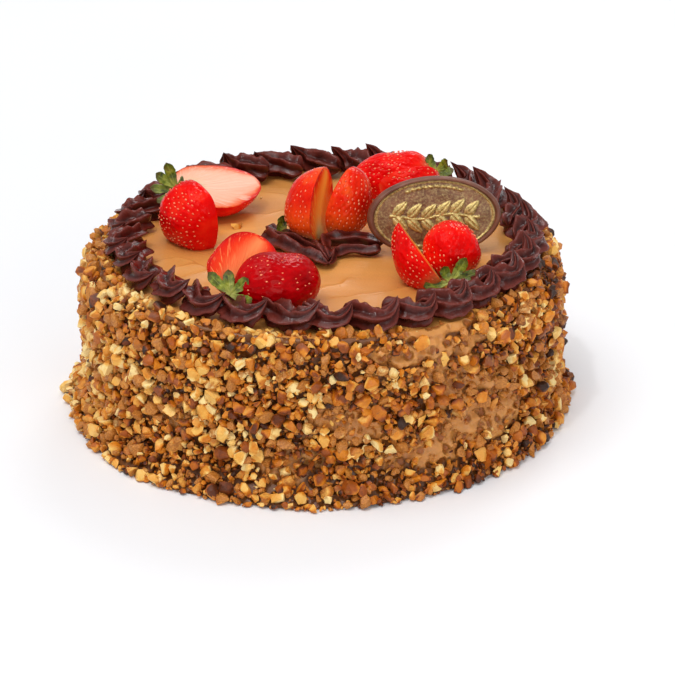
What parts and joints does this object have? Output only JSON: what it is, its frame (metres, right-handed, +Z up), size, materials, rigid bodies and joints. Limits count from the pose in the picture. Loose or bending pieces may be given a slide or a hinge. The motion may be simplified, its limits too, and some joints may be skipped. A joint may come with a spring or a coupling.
{
  "type": "german chocolate cake",
  "caption": "Round caramel-frosted cake with a chopped-nut wall, a piped chocolate border and rope, cut strawberries with leaves, and an upright oval chocolate plaque.",
  "frame": {"origin": "on the floor under the middle of the cake's drum", "axes": "+Z up through the middle of the cake, -Y towards its front, +X to the side with the plaque"},
  "size_m": [0.2248, 0.2245, 0.1034],
  "materials": {
    "frosting": "satin",
    "chocolate": "semi-gloss",
    "strawberry": "gloss",
    "leaf": "satin",
    "plaque": "semi-gloss"
  },
  "bodies": {
    "root": {"cake_body": "frosting", "chocolate_border": "chocolate", "piped_rope": "chocolate", "strawberry_left_back": "strawberry", "strawberry_left_front": "strawberry", "strawberry_front_back": "strawberry", "strawberry_front_round": "strawberry", "strawberry_centre_left": "strawberry", "strawberry_centre_right": "strawberry", "strawberry_back_upper": "strawberry", "strawberry_back_lower": "strawberry", "strawberry_right_left": "strawberry", "strawberry_right_round": "strawberry", "leaves_left": "leaf", "leaves_front": "leaf", "leaves_back": "leaf", "leaves_right": "leaf", "leaf_centre": "leaf", "chocolate_plaque": "plaque"}
  },
  "joints": []
}
